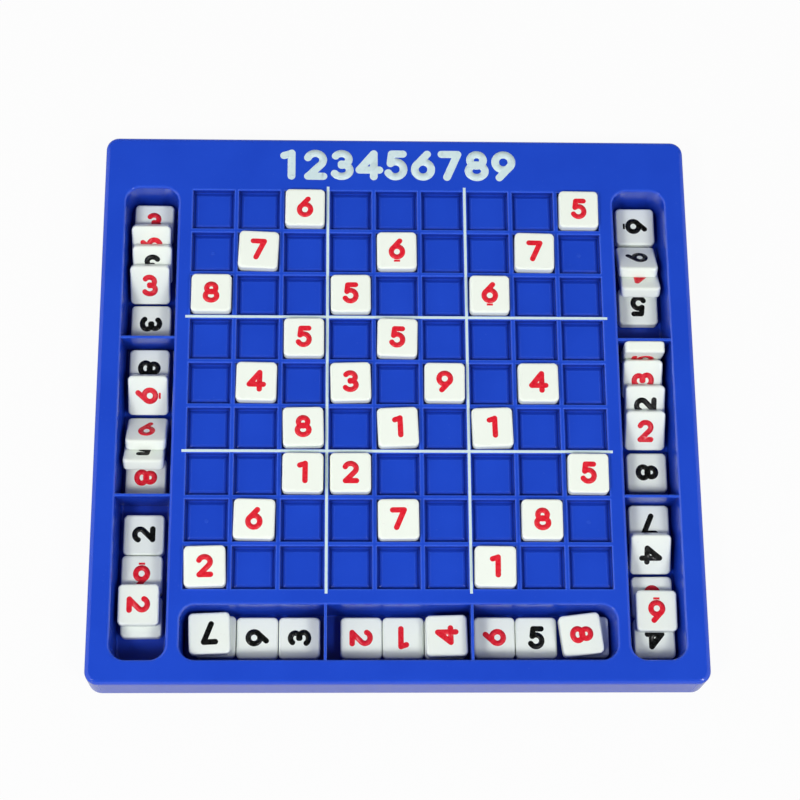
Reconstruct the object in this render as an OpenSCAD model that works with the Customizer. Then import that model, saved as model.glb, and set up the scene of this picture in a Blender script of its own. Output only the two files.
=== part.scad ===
// Sudoku board: a thin moulded board with a nine by nine grid of shallow cells,
// three long trays with dividers round it, and square number tiles that lie
// in the cells or are heaped in the trays.
// The frame has its origin under the middle of the board, on the table.
// X is to the right, Y to the back and Z up, in millimetres.

/* [Grid] */
// Distance from one cell to the next
cell_pitch = 20; // [18:0.5:26]
// Width of the ribs between the cells
rib_w = 2; // [1.4:0.1:3]
// Chamfer along the ribs' top edges
rib_bevel = 0.35; // [0.1:0.05:0.5]
// Depth of a cell below the top face
cell_depth = 3; // [2.2:0.1:5]
// Height of the raised pad in a cell
pad_h = 0.8; // [0.3:0.1:1.4]
// Flat strip between a pad and the ribs
pad_margin = 0.7; // [0.4:0.1:2.5]
// Width of a pad's sloping edge
pad_slope = 1.5; // [0.4:0.1:3]

/* [Board] */
// Height of the board
board_h = 20; // [17:0.5:30]
// Plain band behind the grid
rear_band = 24.5; // [12:0.5:40]
// Bands outside the side trays
side_band = 10.1; // [7:0.1:16]
// Band in front of the front tray
front_band = 10.5; // [7:0.1:16]
// Lanes between the grid and the trays
lane_w = 5.5; // [4.5:0.1:10]
// Radius of the board's corners
corner_r = 6; // [4.5:0.5:10]
// Rounding of the board's top edge
edge_r = 1.8; // [0.6:0.1:3]
// Draft of the outer wall from foot to top
wall_draft = 0.5; // [0.1:0.1:1]
// Thickness of the moulding
wall_t = 2; // [1.2:0.1:2.5]

/* [Trays] */
// Room between a tile and the side walls of a tray
tray_room = 2.8; // [2.3:0.1:6]
// Height of a tray's underside above the table
tray_lift = 1; // [0.4:0.1:2]
// Radius of a tray's corners
tray_corner_r = 6.5; // [3:0.1:8]
// Rounding of a tray's rim
rim_r = 1.1; // [0.3:0.1:1.5]
// Rounding at the foot of a tray's wall
tray_foot_r = 0.9; // [0.5:0.1:2]
// Draft of a tray's wall from floor to rim
tray_draft = 1.1; // [0.1:0.1:1.2]
// Thickness of a divider
divider_t = 1.2; // [0.8:0.1:2]
// Drop from a tray's rim to a divider's top
divider_drop = 0.6; // [0.3:0.1:2]

/* [Tiles] */
// Thickness of a tile
tile_t = 5.2; // [4:0.1:6.2]
// Room between a tile and the ribs round it
tile_clear = 0.4; // [0.25:0.05:0.7]
// Radius of a tile's corners
tile_corner_r = 2; // [1.2:0.1:4]
// Rounding of a tile's edges
tile_edge_r = 0.9; // [0.3:0.1:1.2]
// Gap between a tile and what it rests on
rest_gap = 0.12; // [0.1:0.01:0.2]
// Gap between tiles that lie side by side
row_gap = 0.3; // [0.2:0.05:0.6]

/* [Hidden] */
$fn = 48;

// Overrun that carries a cut or a joined piece past a face
over = 1;

// Flats in each rounded edge, cells in a row, and compartments in a tray
edge_steps = 3;
cells = 9;
bays = 3;

cell_w = cell_pitch - rib_w;
tile_w = cell_w - 2 * tile_clear;
tray_w = tile_w + 2 * tray_room;
grid_w = cells * cell_pitch;
board_w = grid_w + 2 * (lane_w + tray_w + side_band);
board_d = rear_band + grid_w + lane_w + tray_w + front_band;
grid_y = board_d / 2 - rear_band - grid_w / 2;
cell_floor = board_h - cell_depth;
seat_z = cell_floor + pad_h + rest_gap + tile_t / 2;

tray_floor = tray_lift + wall_t;
side_len = grid_w + lane_w + tray_w;
side_x = grid_w / 2 + lane_w + tray_w / 2;
rear_y = grid_y + grid_w / 2;
side_y = rear_y - side_len / 2;
front_y = rear_y - grid_w - lane_w - tray_w / 2;

// Length of one compartment of a side tray and of the front tray
side_bay = (side_len - (bays - 1) * divider_t) / bays;
front_bay = (grid_w - (bays - 1) * divider_t) / bays;

// Most that a tile can turn between its ribs, and shift across a tray's floor
turn_full = atan((tile_clear - rest_gap) / (tile_w / 2 - tile_corner_r));
shift_full = tray_room - tray_draft - tray_foot_r;

// Tiles on the grid: row from the back, column from the left,
// and the share of the full turn, clockwise from above
grid_tile_shares = [
  [1, 3, 0.2], [1, 9, 0.25], [2, 2, 1], [2, 5, -0.15], [2, 8, 0.5],
  [3, 1, 0.1], [3, 4, -0.2], [3, 7, 0.15], [4, 3, -0.1], [4, 5, 0.55],
  [5, 2, 0.4], [5, 4, -0.6], [5, 6, 0.2], [5, 8, -0.15], [6, 3, -0.5],
  [6, 5, -1], [6, 7, -0.7], [7, 3, 0.15], [7, 4, -0.1], [7, 9, 0.2],
  [8, 2, 0.5], [8, 5, -0.2], [8, 8, 0.1], [9, 1, -0.65], [9, 7, 0.25]
];

// A tile's place in a compartment is [along, up, lean]: the middle of the tile from
// the compartment's start and floor, and the angle by which its leading edge dips

// Flat tiles: the first of a row by its share of the spare length, one of that row,
// one on top of another, one on edge at the start, and where a flat tile ends
function row_start(length, count, share) =
  share * (length - count * tile_w - (count - 1) * row_gap) + tile_w / 2;
function in_row(start, i) = [start + i * (tile_w + row_gap), rest_gap + tile_t / 2, 0];
function on_top(below, share) = [below[0] + share * tile_w, below[1] + tile_t + rest_gap, 0];
function on_edge() = [row_gap + tile_t / 2, rest_gap + tile_w / 2, 90];
function ahead(place) = place[0] + tile_w / 2;
function behind(place) = place[0] - tile_w / 2;

// Tiles that slid down like dominoes, parallel and one step apart on the floor
function lean(step) = asin((tile_t + rest_gap) / step);
// How far a rounded edge falls short of a sharp one at that lean
function softness(a) = tile_edge_r * (sin(a) + cos(a) - 1);
// The place of a tile by where its leading edge meets the floor
function on_foot(along, a) = [
  along - cos(a) * tile_w / 2 + sin(a) * tile_t / 2,
  rest_gap - softness(a) + sin(a) * tile_w / 2 + cos(a) * tile_t / 2,
  a
];
// From the edge of a flat tile, or the face of one on edge, to the first foot
function foot_past_tile(a) =
  (rest_gap - softness(a) + (tile_t + softness(a)) * cos(a)) / sin(a);
function foot_past_face(a) = rest_gap - softness(a) + cos(a) * tile_w;
function slid_off_tile(start, step, i) =
  on_foot(start + foot_past_tile(lean(step)) + i * step, lean(step));
function slid_off_face(start, step, i) =
  on_foot(start + foot_past_face(lean(step)) + i * step, lean(step));
// The same seen from the compartment's other end
function from_end(length, place) = [length - place[0], place[1], -place[2]];
function slid_back(length, start, step, i) =
  from_end(length, slid_off_tile(length - start, step, i));

// Left rear: first tile, last tile, and the step of three that lean between them
left_rear_shares = [0.065, 0.99, 0.31];
left_rear_first = in_row(row_start(side_bay, 1, left_rear_shares[0]), 0);
left_rear_last = in_row(row_start(side_bay, 1, left_rear_shares[1]), 0);
left_rear_step = left_rear_shares[2] * (behind(left_rear_last) - ahead(left_rear_first));

// Left middle: first tile, last tile, the step of one that leans forward on the first
// and of two that lean back on the last
left_mid_shares = [0.025, 0.976, 0.36, 0.272];
left_mid_first = in_row(row_start(side_bay, 1, left_mid_shares[0]), 0);
left_mid_last = in_row(row_start(side_bay, 1, left_mid_shares[1]), 0);
left_mid_room = behind(left_mid_last) - ahead(left_mid_first);
left_mid_step = left_mid_shares[2] * left_mid_room;
left_mid_back_step = left_mid_shares[3] * left_mid_room;

// Left front: a row of three, and one on top between the last two
left_front_shares = [0.315, 0.77];
left_front_start = row_start(side_bay, 3, left_front_shares[0]);

// Right rear: first tile, last tile, and the step of two that lean back on the last
right_rear_shares = [0.065, 0.8, 0.455];
right_rear_first = in_row(row_start(side_bay, 1, right_rear_shares[0]), 0);
right_rear_last = in_row(row_start(side_bay, 1, right_rear_shares[1]), 0);
right_rear_step = right_rear_shares[2] * (behind(right_rear_last) - ahead(right_rear_first));

// Right middle: last tile, and the step of three that lean on the one on edge
right_mid_shares = [0.92, 0.275];
right_mid_face = row_gap + tile_t;
right_mid_last = in_row(row_start(side_bay, 1, right_mid_shares[0]), 0);
right_mid_step = right_mid_shares[1] * (behind(right_mid_last) - right_mid_face);

// Right front: first tile, a row of two at the end, the step of one that leans
// on the first, and one on top between the last two
right_front_shares = [0.01, 0.93, 0.86, 0.4];
right_front_first = in_row(row_start(side_bay, 1, right_front_shares[0]), 0);
right_front_start = row_start(side_bay, 2, right_front_shares[1]);
right_front_room = behind(in_row(right_front_start, 0)) - ahead(right_front_first);
right_front_step = right_front_shares[2] * right_front_room;

// Front tray: where each row starts, the last tile at the right, and how far
// the tile on top lies from the one under it
front_row_shares = [0.78, 0.8, 0.025, 0.95];
front_top_shares = [-0.12, 0.02, -0.2];
front_left_start = row_start(front_bay, 3, front_row_shares[0]);
front_mid_start = row_start(front_bay, 3, front_row_shares[1]);
front_right_start = row_start(front_bay, 2, front_row_shares[2]);
front_right_last = in_row(row_start(front_bay, 1, front_row_shares[3]), 0);

// Trays: middle, turn, length and length of a compartment
left_tray = [[-side_x, side_y], -90, side_len, side_bay];
right_tray = [[side_x, side_y], -90, side_len, side_bay];
front_tray = [[0, front_y], 0, grid_w, front_bay];
trays = [left_tray, right_tray, front_tray];

// Each compartment by its tray and number, with its nodes as [name, tiles], and a tile as
// [place, share of the full shift across the tray, turn anticlockwise from above]
heap_shares = [
  [left_tray, 0, [
    ["left_rear_heap", [
      [left_rear_first, 0.1, -0.5],
      [slid_off_tile(ahead(left_rear_first), left_rear_step, 0), -0.5, 0],
      [slid_off_tile(ahead(left_rear_first), left_rear_step, 1), 0.3, 0]]],
    ["left_rear_heap_top", [
      [slid_off_tile(ahead(left_rear_first), left_rear_step, 2), -0.6, 0]]],
    ["left_rear_end_tile", [[left_rear_last, 0.2, 0]]]]],
  [left_tray, 1, [
    ["left_middle_rear_tile", [[left_mid_first, 0.1, 0]]],
    ["left_middle_rear_top", [
      [slid_off_tile(ahead(left_mid_first), left_mid_step, 0), 0.3, 0]]],
    ["left_middle_heap", [
      [slid_back(side_bay, behind(left_mid_last), left_mid_back_step, 0), -0.5, 0],
      [left_mid_last, 0.2, 0]]],
    ["left_middle_heap_top", [
      [slid_back(side_bay, behind(left_mid_last), left_mid_back_step, 1), 0.4, 0]]]]],
  [left_tray, 2, [
    ["left_front_rear_tile", [[in_row(left_front_start, 0), 0.2, 0]]],
    ["left_front_floor_tiles", [
      [in_row(left_front_start, 1), -0.2, 0],
      [in_row(left_front_start, 2), 0.3, 0.5]]],
    ["left_front_top_tile", [
      [on_top(in_row(left_front_start, 1), left_front_shares[1]), -0.7, 0.5]]]]],
  [right_tray, 0, [
    ["right_rear_end_tile", [[right_rear_first, 0.1, 0]]],
    ["right_rear_heap", [
      [slid_back(side_bay, behind(right_rear_last), right_rear_step, 0), 0.4, 0],
      [right_rear_last, -0.2, 0]]],
    ["right_rear_heap_top", [
      [slid_back(side_bay, behind(right_rear_last), right_rear_step, 1), -0.5, 0]]]]],
  [right_tray, 1, [
    ["right_middle_edge_tile", [[on_edge(), 0.1, 0]]],
    ["right_middle_heap", [
      [slid_off_face(right_mid_face, right_mid_step, 0), -0.3, 0],
      [slid_off_face(right_mid_face, right_mid_step, 1), 0.4, 0]]],
    ["right_middle_heap_top", [
      [slid_off_face(right_mid_face, right_mid_step, 2), -0.2, 0]]],
    ["right_middle_end_tile", [[right_mid_last, 0.3, 0]]]]],
  [right_tray, 2, [
    ["right_front_rear_tile", [[right_front_first, 0.1, 0]]],
    ["right_front_rear_top", [
      [slid_off_tile(ahead(right_front_first), right_front_step, 0), -0.4, 0]]],
    ["right_front_floor_tiles", [
      [in_row(right_front_start, 0), 0, 0.5],
      [in_row(right_front_start, 1), 0.3, 0]]],
    ["right_front_top_tile", [
      [on_top(in_row(right_front_start, 0), right_front_shares[3]), 0.9, -0.5]]]]],
  [front_tray, 0, [
    ["front_left_under_tile", [[in_row(front_left_start, 0), 0.4, 0]]],
    ["front_left_top_tile", [
      [on_top(in_row(front_left_start, 0), front_top_shares[0]), 0.9, 2.5]]],
    ["front_left_middle_tile", [[in_row(front_left_start, 1), -0.4, 0]]],
    ["front_left_end_tile", [[in_row(front_left_start, 2), -0.4, 0]]]]],
  [front_tray, 1, [
    ["front_middle_end_tile", [[in_row(front_mid_start, 0), -0.4, 0]]],
    ["front_middle_tile", [[in_row(front_mid_start, 1), -0.4, 0]]],
    ["front_middle_under_tile", [[in_row(front_mid_start, 2), -0.6, 0]]],
    ["front_middle_top_tile", [
      [on_top(in_row(front_mid_start, 2), front_top_shares[1]), -0.4, 1.5]]]]],
  [front_tray, 2, [
    ["front_right_end_tile", [[in_row(front_right_start, 0), -0.3, 0]]],
    ["front_right_middle_tile", [[in_row(front_right_start, 1), -0.4, 0]]],
    ["front_right_under_tile", [[front_right_last, 0.1, 0]]],
    ["front_right_top_tile", [
      [on_top(front_right_last, front_top_shares[2]), 0.2, 7]]]]]
];

function grid_name(tile) = str("tile_row", tile[0], "_col", tile[1]);

// Points of a quarter round that starts at the given angle
function quarter(middle, r, from) = [
  for (i = [0 : edge_steps])
    let (a = from + 90 * i / edge_steps)
      middle + r * [cos(a), sin(a)]
];
function backwards(points) = [for (i = [len(points) - 1 : -1 : 0]) points[i]];
function mirrored(points) = backwards([for (p = points) [-p[0], p[1]]]);
function out_by(points, reach) = [for (p = points) [p[0] + reach, p[1]]];

// Walls as [out, up] points from foot to top, out being counted from the outline
outer_wall = concat(
  [[0, 0]],
  quarter([-wall_draft - edge_r, board_h - edge_r], edge_r, 0)
);
under_wall = [[-wall_t, -over], [-wall_t - wall_draft, board_h - wall_t]];
tub_wall = [[wall_t - tray_draft, tray_lift], [wall_t, board_h - wall_t / 2]];
tray_wall = concat(
  quarter([-tray_draft - tray_foot_r, tray_floor + tray_foot_r], tray_foot_r, -90),
  backwards(quarter([rim_r, board_h - rim_r], rim_r, 90)),
  [[rim_r, board_h + over]]
);
tile_wall = concat(
  quarter([-tile_edge_r, tile_edge_r - tile_t / 2], tile_edge_r, -90),
  quarter([-tile_edge_r, tile_t / 2 - tile_edge_r], tile_edge_r, 0)
);

// A block on a rounded rectangle with such a wall all round it
module swept_block(w, d, r, wall) {
  for (side = [[0, w, d], [90, d, w]])
    rotate(side[0])
      rotate([90, 0, 90])
        linear_extrude(side[1] - 2 * r, center = true)
          polygon(concat(out_by(wall, side[2] / 2), mirrored(out_by(wall, side[2] / 2))));
  for (corner = [[0, w, d], [90, d, w], [180, w, d], [270, d, w]])
    rotate(corner[0])
      translate([corner[1] / 2 - r, corner[2] / 2 - r])
        rotate_extrude(angle = 90)
          polygon(concat([[0, wall[len(wall) - 1][1]], [0, wall[0][1]]], out_by(wall, r)));
}

// Children once in each tray's own frame, with X along the tray
module each_tray() {
  for (tray = trays)
    translate(tray[0])
      rotate(tray[1]) {
        $tray = tray;
        children();
      }
}

// Bars of one section along the rows or the columns of the grid
module grid_bars(section, turn) {
  for (i = [0 : cells - 1])
    translate([0, grid_y])
      rotate(turn)
        translate([0, (i - (cells - 1) / 2) * cell_pitch])
          rotate([90, 0, 90])
            linear_extrude(grid_w, center = true)
              polygon(concat(section, mirrored(section)));
}

module grid_crossings(section) {
  intersection() {
    grid_bars(section, 0);
    grid_bars(section, 90);
  }
}

// The hollow of every cell, with its raised pad left standing
module cell_hollows() {
  pad_reach = cell_w / 2 - pad_margin;
  difference() {
    grid_crossings([
      [cell_w / 2, cell_floor],
      [cell_w / 2, board_h - rib_bevel],
      [cell_w / 2 + rib_bevel, board_h],
      [cell_w / 2 + rib_bevel, board_h + over]
    ]);
    grid_crossings([
      [pad_reach, cell_floor - over],
      [pad_reach, cell_floor],
      [pad_reach - pad_slope, cell_floor + pad_h]
    ]);
  }
}

// The lower panel that carries the cells and runs on into the trays' walls
module grid_panel() {
  reach = grid_w / 2 + lane_w - wall_t / 2;
  translate([-reach, grid_y - reach, cell_floor - wall_t])
    cube([2 * reach, reach + grid_w / 2 + wall_t, cell_depth + wall_t / 2]);
}

// The walls that part a tray into compartments
module tray_dividers() {
  top_r = divider_t / 4;
  section = concat(
    [[divider_t / 2, tray_floor - wall_t / 2]],
    quarter([divider_t / 2 - top_r, board_h - divider_drop - top_r], top_r, 0)
  );
  for (i = [1 : bays - 1])
    translate([i * ($tray[3] + divider_t) - divider_t / 2 - $tray[2] / 2, 0])
      rotate([90, 0, 0])
        linear_extrude(tray_w + wall_t, center = true)
          polygon(concat(section, mirrored(section)));
}

module board() {
  color("royalblue") {
    difference() {
      union() {
        difference() {
          swept_block(board_w, board_d, corner_r, outer_wall);
          swept_block(board_w, board_d, corner_r, under_wall);
        }
        grid_panel();
        each_tray() swept_block($tray[2], tray_w, tray_corner_r, tub_wall);
      }
      each_tray() swept_block($tray[2], tray_w, tray_corner_r, tray_wall);
      cell_hollows();
    }
    each_tray() tray_dividers();
  }
}

module tile() {
  color("ivory") swept_block(tile_w, tile_w, tile_corner_r, tile_wall);
}

module grid_tile(entry) {
  column = entry[1] - (cells + 1) / 2;
  row = (cells + 1) / 2 - entry[0];
  translate([column * cell_pitch, grid_y + row * cell_pitch, seat_z])
    rotate(-entry[2] * turn_full)
      tile();
}

module heap_part(tray, bay, tiles) {
  for (entry = tiles)
    translate(tray[0])
      rotate(tray[1])
        translate([
          bay * (tray[3] + divider_t) - tray[2] / 2 + entry[0][0],
          entry[1] * shift_full,
          tray_floor + entry[0][1]
        ])
          rotate([0, entry[0][2], 0])
            rotate(entry[2])
              tile();
}

board();
for (tile = grid_tile_shares)
  grid_tile(tile);
for (heap = heap_shares, part = heap[2])
  heap_part(heap[0], heap[1], part[1]);
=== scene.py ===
import math

import bmesh
import bpy
import numpy as np
from mathutils import Matrix, Vector


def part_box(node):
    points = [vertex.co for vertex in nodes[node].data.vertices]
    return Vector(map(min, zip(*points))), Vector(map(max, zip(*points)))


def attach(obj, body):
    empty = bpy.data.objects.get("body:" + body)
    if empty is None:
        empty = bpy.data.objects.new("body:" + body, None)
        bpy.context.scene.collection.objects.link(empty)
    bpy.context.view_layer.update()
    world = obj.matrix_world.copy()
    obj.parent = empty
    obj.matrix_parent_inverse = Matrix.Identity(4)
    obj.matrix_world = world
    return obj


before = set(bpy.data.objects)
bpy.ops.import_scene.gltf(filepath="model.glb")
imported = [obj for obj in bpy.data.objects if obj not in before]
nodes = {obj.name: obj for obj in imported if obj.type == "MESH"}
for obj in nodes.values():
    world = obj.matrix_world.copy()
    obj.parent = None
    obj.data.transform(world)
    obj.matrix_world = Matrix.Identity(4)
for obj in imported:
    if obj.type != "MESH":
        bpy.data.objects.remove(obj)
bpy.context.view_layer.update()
mm = 0.001
print("frame loaded:", len(nodes), "nodes")


# camera

cameraSet = {
    "place": (-0.0274, -0.24485, 0.7936),
    "turns": (-0.3063, 0.0350, -0.0040),  # about X, Y and Z, world to camera
    "lens": 85.9,
    "sensor": 36.0,
    "near": 0.01,
}


def makeCamera(spec):
    rx, ry, rz = spec["turns"]
    toCamera = Matrix.Rotation(rz, 3, "Z") @ Matrix.Rotation(ry, 3, "Y") @ Matrix.Rotation(rx, 3, "X")
    data = bpy.data.cameras.new("camera")
    data.lens = spec["lens"]
    data.sensor_width = spec["sensor"]
    data.clip_start = spec["near"]
    camera = bpy.data.objects.new("camera", data)
    camera.matrix_world = Matrix.Translation(spec["place"]) @ toCamera.transposed().to_4x4()
    bpy.context.scene.collection.objects.link(camera)
    bpy.context.scene.camera = camera


makeCamera(cameraSet)
bpy.context.scene.view_settings.view_transform = "Standard"
print("camera placed")


# node helpers

def addNode(tree, kind, **values):
    node = tree.nodes.new(kind)
    for key, value in values.items():
        setattr(node, key, value)
    return node


def feed(tree, node, sources):  # each input takes a link or a plain value
    for key, source in sources.items():
        if isinstance(source, bpy.types.NodeSocket):
            tree.links.new(source, node.inputs[key])
        else:
            node.inputs[key].default_value = source


def openTree(name, kind, inputs, outputs):  # a node group with named sockets
    tree = bpy.data.node_groups.new(name, kind)
    for side, sockets in (("INPUT", inputs), ("OUTPUT", outputs)):
        for label, sort in sockets.items():
            tree.interface.new_socket(label, in_out=side, socket_type="NodeSocket" + sort)
    return tree, tree.nodes.new("NodeGroupInput").outputs, tree.nodes.new("NodeGroupOutput")


def mathOf(tree, operation, first, second):
    node = addNode(tree, "ShaderNodeMath", operation=operation)
    feed(tree, node, {0: first, 1: second})
    return node.outputs[0]


def mixOf(tree, factor, first, second):
    node = addNode(tree, "ShaderNodeMix", data_type="RGBA")
    feed(tree, node, {"Factor": factor, "A": first, "B": second})
    return node.outputs["Result"]


def noiseOf(tree, vector, scale, detail, rough=0.5):
    node = addNode(tree, "ShaderNodeTexNoise")
    feed(tree, node, {"Vector": vector, "Scale": scale, "Detail": detail, "Roughness": rough})
    return node.outputs["Fac"]


def rangeOf(tree, value, span, low, high):  # over the span, low turns to high
    node = addNode(tree, "ShaderNodeMapRange")
    feed(tree, node, {
        "Value": value, "From Min": span[0], "From Max": span[1], "To Min": low, "To Max": high,
    })
    return node.outputs["Result"]


def newMaterial(name):
    material = bpy.data.materials.new(name)
    material.use_nodes = True
    tree = material.node_tree
    tree.nodes.clear()
    output = addNode(tree, "ShaderNodeOutputMaterial")
    shader = addNode(tree, "ShaderNodeBsdfPrincipled")
    feed(tree, output, {"Surface": shader.outputs["BSDF"]})
    return material, tree, shader


# moulded plastic skin, shared by the board and the tiles

skinSet = {
    "cloudScale": 38.0, "cloudDetail": 3.0, "cloudSpan": (0.35, 0.70),
    "dustScale": 900.0, "dustDetail": 1.0, "dustSpan": (0.72, 0.78), "dustCover": 0.5,
    "scuffScale": 160.0, "scuffDetail": 5.0, "scuffRough": 0.7, "scuffSpan": (0.30, 0.75),
    "grainScale": 420.0, "grainDetail": 2.0, "grainDepth": 0.2 * mm,
    "rubAndHighlightSpan": (0.985, 0.86), "rubAndHighlightCover": 0.9,  # cosine between a face and its rounded edge; where they differ, the edge is painted paler as rub wear and as painted highlight
    "rubAndHighlightOpenSpan": (0.60, 0.90),  # how open an edge is where it is painted paler as rub wear and painted highlight
    "hollowSpan": (0.55, 0.26), "hollowCover": 0.85,  # how open a recess is where painted shade darkens it
    "cornerSpan": (0.58, 0.42), "cornerRough": 0.20,  # how open a corner is where no polish reaches
    "softSamples": 6, "rubAndHighlightSamples": 4, "openSamples": 6,
}
boardFinish = {
    "tone": (0.0120, 0.060, 0.545, 1.0),
    "cloud": (0.0140, 0.067, 0.580, 1.0),
    "dust": (0.040, 0.105, 0.600, 1.0),
    # the paler edge tone: rub wear and painted highlight on rounded edges
    "edge": (0.060, 0.175, 0.850, 1.0),
    # painted shade, darker in recesses
    "hollow": (0.002, 0.010, 0.180, 1.0),
    "smooth": 0.08, "dull": 0.18,  # roughness where polished and where scuffed
    "bump": 0.012, "specular": 0.48,
    "soften": 0.2 * mm, "rubAndHighlightRadius": 1.0 * mm,  # radii of the rounded look and of the band painted paler as rub wear and painted highlight
    "reach": 25.0 * mm,  # how far off the other side of a recess counts, for the painted shade and the paler edges
}
tileFinish = {
    "tone": (0.86, 0.915, 0.835, 1.0),
    "cloud": (0.84, 0.895, 0.815, 1.0),
    "dust": (0.76, 0.79, 0.73, 1.0),
    # the paler edge tone: rub wear and painted highlight on rounded edges
    "edge": (0.88, 0.91, 0.86, 1.0),
    # painted shade, darker in recesses
    "hollow": (0.70, 0.73, 0.68, 1.0),
    "smooth": 0.14, "dull": 0.28,
    "bump": 0.015, "specular": 0.45,
    "soften": 0.7 * mm, "rubAndHighlightRadius": 0.7 * mm,
    "reach": 1.0 * mm,
}


def makeMouldedSkin(spec):
    inputs = {
        "Vector": "Vector", "Tone": "Color", "Cloud Tone": "Color", "Dust Tone": "Color",
        "Edge Rub And Highlight Tone": "Color", "Painted Shade Tone": "Color", "Open": "Float",
        "Face Normal": "Vector", "Soft Normal": "Vector", "Smooth": "Float", "Dull": "Float",
    }
    outputs = {"Color": "Color", "Roughness": "Float", "Height": "Float"}
    group, given, end = openTree("mouldedSkin", "ShaderNodeTree", inputs, outputs)
    place, openness = given["Vector"], given["Open"]
    cloud = noiseOf(group, place, spec["cloudScale"], spec["cloudDetail"])
    clouded = rangeOf(group, cloud, spec["cloudSpan"], 0.0, 1.0)
    tone = mixOf(group, clouded, given["Tone"], given["Cloud Tone"])
    dust = noiseOf(group, place, spec["dustScale"], spec["dustDetail"])
    dusted = rangeOf(group, dust, spec["dustSpan"], 0.0, spec["dustCover"])
    tone = mixOf(group, dusted, tone, given["Dust Tone"])
    alike = addNode(group, "ShaderNodeVectorMath", operation="DOT_PRODUCT")
    feed(group, alike, {0: given["Face Normal"], 1: given["Soft Normal"]})
    turned = rangeOf(group, alike.outputs["Value"], spec["rubAndHighlightSpan"], 0.0, spec["rubAndHighlightCover"])
    proud = rangeOf(group, openness, spec["rubAndHighlightOpenSpan"], 0.0, 1.0)
    rubAndHighlightMask = mathOf(group, "MULTIPLY", turned, proud)  # outer edges are painted paler as rub wear and painted highlight, inner corners are not
    tone = mixOf(group, rubAndHighlightMask, tone, given["Edge Rub And Highlight Tone"])
    # painted shade: the more closed in a spot is, the darker its colour
    hollow = rangeOf(group, openness, spec["hollowSpan"], 0.0, spec["hollowCover"])
    tone = mixOf(group, hollow, tone, given["Painted Shade Tone"])
    scuff = noiseOf(group, place, spec["scuffScale"], spec["scuffDetail"], spec["scuffRough"])
    gloss = rangeOf(group, scuff, spec["scuffSpan"], given["Smooth"], given["Dull"])
    corner = rangeOf(group, openness, spec["cornerSpan"], 0.0, spec["cornerRough"])
    rough = mathOf(group, "ADD", gloss, corner)
    grain = noiseOf(group, place, spec["grainScale"], spec["grainDetail"])
    feed(group, end, {"Color": tone, "Roughness": rough, "Height": grain})
    return group


mouldedSkin = makeMouldedSkin(skinSet)


def mouldedPlastic(name, finish):
    material, tree, shader = newMaterial(name)
    place = addNode(tree, "ShaderNodeTexCoord").outputs["Object"]
    face = addNode(tree, "ShaderNodeNewGeometry").outputs["True Normal"]
    soft = addNode(tree, "ShaderNodeBevel", samples=skinSet["softSamples"])
    feed(tree, soft, {"Radius": finish["soften"]})
    # a wide rounded normal that finds the edges painted paler as rub wear and painted highlight
    rubAndHighlightNormal = addNode(tree, "ShaderNodeBevel", samples=skinSet["rubAndHighlightSamples"])
    feed(tree, rubAndHighlightNormal, {"Radius": finish["rubAndHighlightRadius"]})
    # how open each spot is, which sets the painted shade, the paler edges and the rougher corners
    around = addNode(tree, "ShaderNodeAmbientOcclusion", samples=skinSet["openSamples"], only_local=True)
    feed(tree, around, {"Distance": finish["reach"]})
    skin = addNode(tree, "ShaderNodeGroup", node_tree=mouldedSkin)
    feed(tree, skin, {
        "Vector": place, "Open": around.outputs["AO"],
        "Face Normal": face, "Soft Normal": rubAndHighlightNormal.outputs["Normal"],
        "Tone": finish["tone"], "Cloud Tone": finish["cloud"], "Dust Tone": finish["dust"],
        "Edge Rub And Highlight Tone": finish["edge"], "Painted Shade Tone": finish["hollow"],
        "Smooth": finish["smooth"], "Dull": finish["dull"],
    })
    bump = addNode(tree, "ShaderNodeBump")
    feed(tree, bump, {
        "Strength": finish["bump"], "Distance": skinSet["grainDepth"],
        "Height": skin.outputs["Height"], "Normal": soft.outputs["Normal"],
    })
    feed(tree, shader, {
        "Base Color": skin.outputs["Color"], "Roughness": skin.outputs["Roughness"],
        "Normal": bump.outputs["Normal"], "Specular IOR Level": finish["specular"],
    })
    return material


boardBlue = mouldedPlastic("boardBlue", boardFinish)
tileIvory = mouldedPlastic("tileIvory", tileFinish)


# printing ink: a thin film whose cover and gloss vary a little

inks = {
    "red": {
        "full": (0.700, 0.014, 0.030, 1.0), "thin": (0.740, 0.030, 0.048, 1.0), "slot": "print_red",
    },
    "black": {
        "full": (0.003, 0.0035, 0.003, 1.0), "thin": (0.009, 0.010, 0.009, 1.0), "slot": "print_black",
    },
    "white": {
        "full": (0.620, 0.760, 0.770, 1.0), "thin": (0.520, 0.670, 0.720, 1.0), "slot": "print_white",
    },
}
inkFilm = {
    "scale": 700.0, "detail": 3.0, "rough": 0.6, "thinSpan": (0.45, 0.75),
    "fullGloss": 0.26, "thinGloss": 0.38, "specular": 0.25,
}


def printInk(name, ink, film):
    material, tree, shader = newMaterial(name)
    place = addNode(tree, "ShaderNodeTexCoord").outputs["Object"]
    spread = noiseOf(tree, place, film["scale"], film["detail"], film["rough"])
    thin = rangeOf(tree, spread, film["thinSpan"], 0.0, 1.0)
    tone = mixOf(tree, thin, ink["full"], ink["thin"])
    rough = rangeOf(tree, thin, (0.0, 1.0), film["fullGloss"], film["thinGloss"])
    feed(tree, shader, {"Base Color": tone, "Roughness": rough, "Specular IOR Level": film["specular"]})
    return material


inkMaterials = {name: printInk(name + "Ink", ink, inkFilm) for name, ink in inks.items()}

for name, node in nodes.items():
    node.data.materials.clear()
    node.data.materials.append(boardBlue if name == "board" else tileIvory)
print("materials made")


# geometry helpers

def instancesOn(tree, points, shape):
    node = addNode(tree, "GeometryNodeInstanceOnPoints")
    feed(tree, node, {"Points": points, "Instance": shape})
    return node


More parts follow.
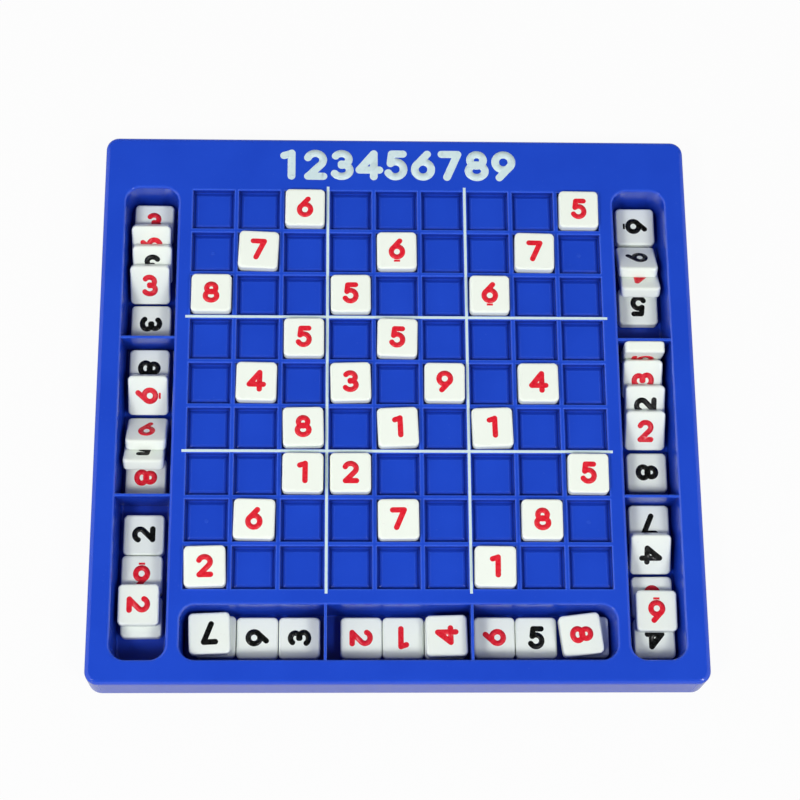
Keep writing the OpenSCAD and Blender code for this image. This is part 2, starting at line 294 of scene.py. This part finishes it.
def unionOf(tree, first, second):  # overlapping parts become one closed solid
    both = addNode(tree, "GeometryNodeJoinGeometry")
    feed(tree, both, {"Geometry": first})
    feed(tree, both, {"Geometry": second})
    real = addNode(tree, "GeometryNodeRealizeInstances")
    feed(tree, real, {"Geometry": both.outputs["Geometry"]})
    merged = addNode(tree, "GeometryNodeMeshBoolean", operation="UNION", solver="EXACT")
    feed(tree, merged, {"Self Intersection": True, "Mesh 2": real.outputs["Geometry"]})
    return merged.outputs["Mesh"]


def closeTree(tree, geometry, material, end):
    whole = addNode(tree, "GeometryNodeRealizeInstances")
    feed(tree, whole, {"Geometry": geometry})
    covered = addNode(tree, "GeometryNodeSetMaterial")
    feed(tree, covered, {"Geometry": whole.outputs["Geometry"], "Material": material})
    feed(tree, end, {"Geometry": covered.outputs["Geometry"]})


def meshFromTree(data, tree, values):  # the tree's result as a plain mesh
    maker = bpy.data.objects.new("maker", data)
    bpy.context.scene.collection.objects.link(maker)
    modifier = maker.modifiers.new("tree", "NODES")
    modifier.node_group = tree
    for item in tree.interface.items_tree:
        if item.in_out == "INPUT" and item.name in values:
            modifier[item.identifier] = values[item.name]
    bpy.context.view_layer.update()
    graph = bpy.context.evaluated_depsgraph_get()
    mesh = bpy.data.meshes.new_from_object(maker.evaluated_get(graph))
    bpy.data.objects.remove(maker)
    return mesh


def joinedPiece(name, parts, material):  # copies of flat meshes, each set in place
    bm = bmesh.new()
    for mesh, place in parts:
        copy = mesh.copy()
        copy.transform(place)
        bm.from_mesh(copy)
        bpy.data.meshes.remove(copy)
    mesh = bpy.data.meshes.new(name)
    bm.to_mesh(mesh)
    bm.free()
    mesh.materials.clear()
    mesh.materials.append(material)
    mesh.polygons.foreach_set("material_index", [0] * len(mesh.polygons))
    piece = bpy.data.objects.new(name, mesh)
    bpy.context.scene.collection.objects.link(piece)
    return piece


# numerals as centre lines in a box one unit high, drawn by a round nib

numeralSet = {
    "height": 9.8 * mm, "film": 0.04 * mm, "sunk": 0.01 * mm,
    "nib": 0.237,  # share of the numeral's height
    "arcSteps": 16, "ringSteps": 32, "smallRingSteps": 28, "capSides": 20,
}
sixBar = {"middle": -0.56, "length": 0.27, "thick": 0.095, "lift": 0.05}  # shares of the height


def arcOf(middle, radii, start, end, count=numeralSet["arcSteps"]):
    steps = [math.radians((start + (end - start) * i / count) % 360) for i in range(count + 1)]
    return [(middle[0] + radii[0] * math.cos(a), middle[1] + radii[1] * math.sin(a)) for a in steps]


def numeralStrokes(ring, smallRing):
    six = [arcOf((0.0, -0.13), (0.25, 0.25), 0, 360, ring), [(-0.20, 0.01), (0.13, 0.38)]]
    return {
        1: [[(0.10, 0.38), (0.10, -0.38)], [(0.10, 0.37), (-0.13, 0.30)]],
        2: [arcOf((0.0, 0.16), (0.24, 0.22), 160, -40) + [(-0.21, -0.38)],
            [(-0.22, -0.38), (0.25, -0.38)]],
        3: [arcOf((-0.02, 0.185), (0.22, 0.195), 145, -90),
            arcOf((-0.02, -0.175), (0.25, 0.205), 90, -148)],
        4: [[(0.14, 0.38), (-0.30, -0.16)], [(-0.30, -0.16), (0.31, -0.16)],
            [(0.14, 0.38), (0.14, -0.38)]],
        5: [[(0.21, 0.38), (-0.13, 0.38)], [(-0.13, 0.38), (-0.17, 0.06)],
            [(-0.17, 0.06)] + arcOf((-0.02, -0.13), (0.25, 0.25), 112, -152)],
        6: six,
        7: [[(-0.25, 0.38), (0.24, 0.38)], [(0.24, 0.38), (-0.09, -0.38)]],
        8: [arcOf((0.0, 0.19), (0.20, 0.19), 0, 360, smallRing),
            arcOf((0.0, -0.17), (0.25, 0.21), 0, 360, ring)],
        9: [[(-x, -y) for x, y in stroke] for stroke in six],
    }


def makeNibTree(capSides):
    inputs = {"Geometry": "Geometry", "Nib": "Float", "Film": "Float", "Ink": "Material"}
    tree, given, end = openTree("roundNib", "GeometryNodeTree", inputs, {"Geometry": "Geometry"})
    nib = addNode(tree, "GeometryNodeCurvePrimitiveQuadrilateral")
    feed(tree, nib, {"Width": given["Nib"], "Height": given["Film"]})
    level = addNode(tree, "GeometryNodeSetCurveNormal", mode="Z_UP")
    feed(tree, level, {"Curve": given["Geometry"]})
    stroke = addNode(tree, "GeometryNodeCurveToMesh")
    feed(tree, stroke, {
        "Curve": level.outputs["Curve"], "Profile Curve": nib.outputs["Curve"], "Fill Caps": True,
    })
    cap = addNode(tree, "GeometryNodeMeshCylinder")
    radius = mathOf(tree, "MULTIPLY", given["Nib"], 0.5)
    feed(tree, cap, {"Vertices": capSides, "Radius": radius, "Depth": given["Film"]})
    ends = addNode(tree, "GeometryNodeCurveEndpointSelection")
    caps = instancesOn(tree, given["Geometry"], cap.outputs["Mesh"])
    feed(tree, caps, {"Selection": ends.outputs["Selection"]})
    drawn = unionOf(tree, stroke.outputs["Mesh"], caps.outputs["Instances"])
    closeTree(tree, drawn, given["Ink"], end)
    return tree


nibTree = makeNibTree(numeralSet["capSides"])
strokesOf = numeralStrokes(numeralSet["ringSteps"], numeralSet["smallRingSteps"])
drawnNumerals = {}


def drawnNumeral(digit, bar):
    key = (digit, bar)
    if key not in drawnNumerals:
        line = bpy.data.curves.new("numeral", "CURVE")
        line.dimensions = "3D"
        for points in strokesOf[digit]:
            closed = points[0] == points[-1]
            kept = points[:-1] if closed else points
            spline = line.splines.new("POLY")
            spline.points.add(len(kept) - 1)
            spline.use_cyclic_u = closed
            for spot, (x, y) in zip(spline.points, kept):
                spot.co = (x, y, 0.0, 1.0)
        values = {"Nib": numeralSet["nib"], "Film": 1.0, "Ink": inkMaterials["red"]}
        mesh = meshFromTree(line, nibTree, values)
        if bar:
            addBar(mesh, sixBar)
        drawnNumerals[key] = mesh
    return drawnNumerals[key]


def addBar(mesh, spec):  # the short bar that tells a six from a nine
    bm = bmesh.new()
    bm.from_mesh(mesh)
    size = Matrix.Diagonal((spec["length"], spec["thick"], 1.0, 1.0))
    bmesh.ops.create_cube(bm, size=1.0, matrix=Matrix.Translation((0, spec["middle"], 0)) @ size)
    bmesh.ops.translate(bm, verts=bm.verts, vec=(0, spec["lift"], 0))
    bm.to_mesh(mesh)
    bm.free()


# where each tile lies, read from its own faces

tileReading = {
    "weld": 0.001 * mm,
    "alikeDigits": 2,  # decimals to which the normals of one flat face agree
    "broadShare": 0.8, "sideShare": 0.15,  # of the largest flat face
    "square": 0.02,  # cosine below which a side stands square to the face
    "lean": 0.5,  # how much looking to the front counts beside looking up
}


def tilesOf(node):
    bm = bmesh.new()
    bm.from_mesh(node.data)
    bmesh.ops.remove_doubles(bm, verts=bm.verts, dist=tileReading["weld"])
    left, tiles = set(bm.faces), []
    while left:
        stack = [left.pop()]
        island = list(stack)
        while stack:
            for edge in stack.pop().edges:
                for face in edge.link_faces:
                    if face in left:
                        left.remove(face)
                        stack.append(face)
                        island.append(face)
        tiles.append(tileFrame(island, tileReading))
    bm.free()
    return sorted(tiles, key=lambda tile: -tile["middle"].y)


def tileFrame(faces, spec):
    areas = {}
    for face in faces:
        key = tuple(round(c, spec["alikeDigits"]) + 0.0 for c in face.normal)
        total, normal = areas.get(key, (0.0, face.normal.copy()))
        areas[key] = (total + face.calc_area(), normal)
    ranked = sorted(areas.values(), key=lambda item: -item[0])
    largest = ranked[0][0]
    broad = [n for area, n in ranked if area > spec["broadShare"] * largest]
    face = max(broad, key=lambda n: n.z - spec["lean"] * n.y)
    flats = [n for area, n in ranked if area > spec["sideShare"] * largest]
    sides = [n for n in flats if abs(n.dot(face)) < spec["square"]]
    up = max(sides, key=lambda n: n.y + spec["lean"] * n.z)
    right = up.cross(face)
    spots = np.array([v.co for f in faces for v in f.verts])
    middle, thick = Vector((0, 0, 0)), 0.0
    for axis in (right, up, face):
        along = spots @ np.array(axis)
        middle += axis * float(along.min() + along.max()) / 2
        thick = float(along.max() - along.min())
    return {"middle": middle, "right": right, "up": up, "face": face, "thick": thick}


def printPlace(tile, quarters, back):  # numeral box to tile face, turned clockwise by quarters
    face = -tile["face"] if back else tile["face"]
    right = -tile["right"] if back else tile["right"]
    angle = math.radians(90 * quarters)
    up = tile["up"] * math.cos(angle) + right * math.sin(angle)
    across = up.cross(face)
    size, film = numeralSet["height"], numeralSet["film"]
    middle = tile["middle"] + face * (tile["thick"] / 2 + film / 2 - numeralSet["sunk"])
    turned = Matrix((across, up, face)).transposed().to_4x4()
    return Matrix.Translation(middle) @ turned @ Matrix.Diagonal((size, size, film, 1.0))


# what is printed on each tile: numeral, with _ where a bar is under it, ink, quarter turns clockwise

gridPrint = {  # all in red and upright
    "tile_row1_col3": "6", "tile_row1_col9": "5", "tile_row2_col2": "7", "tile_row2_col5": "6_",
    "tile_row2_col8": "7", "tile_row3_col1": "8", "tile_row3_col4": "5", "tile_row3_col7": "6_",
    "tile_row4_col3": "5", "tile_row4_col5": "5", "tile_row5_col2": "4", "tile_row5_col4": "3",
    "tile_row5_col6": "9", "tile_row5_col8": "4", "tile_row6_col3": "8", "tile_row6_col5": "1",
    "tile_row6_col7": "1", "tile_row7_col3": "1", "tile_row7_col4": "2", "tile_row7_col9": "5",
    "tile_row8_col2": "6", "tile_row8_col5": "7", "tile_row8_col8": "8", "tile_row9_col1": "2",
    "tile_row9_col7": "1",
}
trayPrint = {  # tiles of a heap from the back to the front
    "left_rear_heap": ["3 red 0", "9 red 1", "3 black 2"],
    "left_rear_heap_top": ["3 red 0"],
    "left_rear_end_tile": ["3 black 1"],
    "left_middle_rear_tile": ["8 black 1"],
    "left_middle_rear_top": ["6_ red 3"],
    "left_middle_heap": ["5 black 2", "8 red 1"],
    "left_middle_heap_top": ["6 red 0"],
    "left_front_rear_tile": ["2 black 3"],
    "left_front_floor_tiles": ["6_ red 2", "7 red 1"],
    "left_front_top_tile": ["2 red 1"],
    "right_rear_end_tile": ["6_ black 1"],
    "right_rear_heap": ["4 red 2", "5 black 2"],
    "right_rear_heap_top": ["9 black 1"],
    "right_middle_edge_tile": ["5 red 3"],
    "right_middle_heap": ["3 red 3", "2 black 3"],
    "right_middle_heap_top": ["2 red 0"],
    "right_middle_end_tile": ["8 black 1"],
    "right_front_rear_tile": ["7 black 2"],
    "right_front_rear_top": ["4 black 1"],
    "right_front_floor_tiles": ["9 red 0", "4 black 2"],
    "right_front_top_tile": ["6_ red 2"],
    "front_left_under_tile": ["4 red 0"],
    "front_left_top_tile": ["7 black 2"],
    "front_left_middle_tile": ["9 black 3"],
    "front_left_end_tile": ["3 black 3"],
    "front_middle_end_tile": ["2 red 1"],
    "front_middle_tile": ["1 red 2"],
    "front_middle_under_tile": ["7 black 0"],
    "front_middle_top_tile": ["4 red 3"],
    "front_right_end_tile": ["9 red 1"],
    "front_right_middle_tile": ["5 black 0"],
    "front_right_under_tile": ["2 red 2"],
    "front_right_top_tile": ["8 red 1"],
}


def printTiles(name, marks):
    parts = {"red": [], "black": []}
    for tile, mark in zip(tilesOf(nodes[name]), marks):
        numeral, ink, quarters = mark.split()
        digit, bar = int(numeral[0]), numeral.endswith("_")
        other = "black" if ink == "red" else "red"  # the same numeral on the back, in the other ink
        parts[ink].append((drawnNumeral(digit, bar), printPlace(tile, int(quarters), False)))
        parts[other].append((drawnNumeral(digit, bar), printPlace(tile, int(quarters), True)))
    for ink, places in parts.items():
        piece = joinedPiece(name + "_" + ink + "Print", places, inkMaterials[ink])
        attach(piece, name)


for name, numeral in gridPrint.items():
    printTiles(name, [numeral + " red 0"])
for name, marks in trayPrint.items():
    printTiles(name, marks)
print("tiles printed:", len(gridPrint) + len(trayPrint))


# white print on the board: lines between the blocks of the grid, and a row of numerals behind it

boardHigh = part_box("board")[1]
rowLow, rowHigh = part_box("tile_row5_col4")  # a tile of the middle row
grid = {
    "cells": 9, "blockCells": 3, "middleCell": 5,
    "pitch": 20.0 * mm,
    "middleY": (rowLow.y + rowHigh.y) / 2,
}
boardPrint = {
    "lineWidth": 1.15 * mm,
    "lineLength": 182.0 * mm,
    "rowFromBack": 13.0 * mm,
    "rowHeight": 14.5 * mm,
    "rowPitch": 11.9 * mm,
    "film": 0.05 * mm, "sunk": 0.02 * mm,
}


def makeLinesTree():
    inputs = {
        "Geometry": "Geometry", "Gap": "Float", "Width": "Float", "Length": "Float",
        "Film": "Float", "Ink": "Material",
    }
    tree, given, end = openTree("blockLines", "GeometryNodeTree", inputs, {"Geometry": "Geometry"})
    size = addNode(tree, "ShaderNodeCombineXYZ")
    feed(tree, size, {"X": given["Width"], "Y": given["Length"], "Z": given["Film"]})
    strip = addNode(tree, "GeometryNodeMeshCube")
    feed(tree, strip, {"Size": size.outputs[0]})
    first = addNode(tree, "ShaderNodeCombineXYZ")
    feed(tree, first, {"X": mathOf(tree, "MULTIPLY", given["Gap"], -0.5)})
    step = addNode(tree, "ShaderNodeCombineXYZ")
    feed(tree, step, {"X": given["Gap"]})
    pair = addNode(tree, "GeometryNodeMeshLine")
    feed(tree, pair, {"Count": 2, "Start Location": first.outputs[0], "Offset": step.outputs[0]})
    upright = instancesOn(tree, pair.outputs["Mesh"], strip.outputs["Mesh"]).outputs["Instances"]
    level = addNode(tree, "GeometryNodeTransform")
    feed(tree, level, {"Geometry": upright, "Rotation": (0.0, 0.0, math.pi / 2)})
    crossed = unionOf(tree, upright, level.outputs["Geometry"])
    closeTree(tree, crossed, given["Ink"], end)
    return tree


def printBoard(spec):
    white = inkMaterials["white"]
    lines = meshFromTree(bpy.data.meshes.new("blank"), makeLinesTree(), {
        "Gap": grid["blockCells"] * grid["pitch"], "Width": spec["lineWidth"], "Length": spec["lineLength"],
        "Film": spec["film"], "Ink": white})
    top = boardHigh.z + spec["film"] / 2 - spec["sunk"]
    linePiece = joinedPiece("blockLines", [(lines, Matrix.Translation((0, grid["middleY"], top)))], white)
    size = Matrix.Diagonal((spec["rowHeight"], spec["rowHeight"], spec["film"], 1))
    rowParts = []
    for digit in range(1, grid["cells"] + 1):
        x = (digit - grid["middleCell"]) * spec["rowPitch"]
        place = Matrix.Translation((x, boardHigh.y - spec["rowFromBack"], top))
        rowParts.append((drawnNumeral(digit, False), place @ size))
    rowPiece = joinedPiece("numeralRow", rowParts, white)
    for piece in (linePiece, rowPiece):
        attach(piece, "board")


printBoard(boardPrint)
print("board printed")


# moulding marks on the pads of four cells

gateMarks = {
    "cells": [(2, 1), (2, 9), (8, 1), (8, 9)],  # row and column
    "radius": 0.9 * mm, "rise": 0.06 * mm, "sides": 24,
    "seatGap": 0.12 * mm,  # from a pad's top to the tile on it
}


def makeMarksTree(sides):
    inputs = {"Geometry": "Geometry", "Radius": "Float", "Rise": "Float", "Finish": "Material"}
    tree, given, end = openTree("gateMarks", "GeometryNodeTree", inputs, {"Geometry": "Geometry"})
    disc = addNode(tree, "GeometryNodeMeshCylinder")
    feed(tree, disc, {"Vertices": sides, "Radius": given["Radius"], "Depth": given["Rise"]})
    marks = instancesOn(tree, given["Geometry"], disc.outputs["Mesh"])
    closeTree(tree, marks.outputs["Instances"], given["Finish"], end)
    return tree


def markCells(spec):
    padTop = rowLow.z - spec["seatGap"]
    spots = []
    for row, col in spec["cells"]:
        x = (col - grid["middleCell"]) * grid["pitch"]
        y = grid["middleY"] + (grid["middleCell"] - row) * grid["pitch"]
        spots.append((x, y, padTop))
    points = bpy.data.meshes.new("points")
    points.from_pydata(spots, [], [])
    mesh = meshFromTree(points, makeMarksTree(spec["sides"]), {
        "Radius": spec["radius"], "Rise": spec["rise"], "Finish": boardBlue})
    piece = joinedPiece("gateMarks", [(mesh, Matrix.Identity(4))], boardBlue)
    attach(piece, "board")


markCells(gateMarks)
print("cells marked")


# floor, light and sky

studio = {
    "floorSize": 6.0, "floorTone": (0.55, 0.55, 0.55, 1.0), "floorRough": 0.9,
    "floorGlow": 0.95, "mirrorGlow": 0.12,  # share of plain white, seen directly and in gloss
    "horizon": (0.80, 0.80, 0.80, 1.0), "overhead": (0.06, 0.06, 0.06, 1.0),
    "fadeSpan": (0.25, 0.60),  # height of the sky, 1 straight above
}
lamps = {  # place, size and watts, each aimed at the origin
    "leftKey": ((-1.00, -1.00, 1.74), 0.5, 24.0),
    "rightKey": ((1.00, -1.00, 1.74), 0.5, 18.0),
    "leftFill": ((-1.35, 0.15, 0.95), 1.6, 8.0),
    "rightFill": ((1.35, 0.05, 0.95), 1.6, 5.5),
}


def makeFloor(spec):
    mesh = bpy.data.meshes.new("floor")
    half = spec["floorSize"] / 2
    corners = [(-half, -half, 0), (half, -half, 0), (half, half, 0), (-half, half, 0)]
    mesh.from_pydata(corners, [], [(0, 1, 2, 3)])
    floor = bpy.data.objects.new("floor", mesh)
    bpy.context.scene.collection.objects.link(floor)
    material, tree, shader = newMaterial("floorPaper")
    feed(tree, shader, {
        "Base Color": spec["floorTone"], "Roughness": spec["floorRough"], "Specular IOR Level": 0.0,
    })
    glow = addNode(tree, "ShaderNodeEmission")
    path = addNode(tree, "ShaderNodeLightPath").outputs
    gloss = mathOf(tree, "MAXIMUM", path["Is Glossy Ray"], path["Is Transmission Ray"])
    mirrored = mathOf(tree, "MULTIPLY", gloss, spec["mirrorGlow"])
    seen = mathOf(tree, "MULTIPLY", path["Is Camera Ray"], spec["floorGlow"])
    mixed = addNode(tree, "ShaderNodeMixShader")
    share = mathOf(tree, "MAXIMUM", seen, mirrored)
    feed(tree, mixed, {"Fac": share, 1: shader.outputs["BSDF"], 2: glow.outputs["Emission"]})
    output = next(n for n in tree.nodes if n.type == "OUTPUT_MATERIAL")
    feed(tree, output, {"Surface": mixed.outputs["Shader"]})
    mesh.materials.append(material)


def makeLamps(specs):
    for name, (place, size, watts) in specs.items():
        data = bpy.data.lights.new(name, "AREA")
        data.shape = "SQUARE"
        data.size = size
        data.energy = watts
        lamp = bpy.data.objects.new(name, data)
        lamp.location = place
        lamp.rotation_euler = (-Vector(place)).to_track_quat("-Z", "Y").to_euler()
        bpy.context.scene.collection.objects.link(lamp)


def makeSky(spec):  # pale all round and dark overhead: upright faces shine, level ones keep their colour
    world = bpy.data.worlds.new("sky")
    world.use_nodes = True
    tree = world.node_tree
    back = next(n for n in tree.nodes if n.type == "BACKGROUND")
    place = addNode(tree, "ShaderNodeTexCoord").outputs["Generated"]
    parts = addNode(tree, "ShaderNodeSeparateXYZ")
    feed(tree, parts, {0: place})
    height = rangeOf(tree, parts.outputs["Z"], spec["fadeSpan"], 0.0, 1.0)
    feed(tree, back, {"Color": mixOf(tree, height, spec["horizon"], spec["overhead"])})
    bpy.context.scene.world = world


makeFloor(studio)
makeLamps(lamps)
makeSky(studio)
print("studio lit")
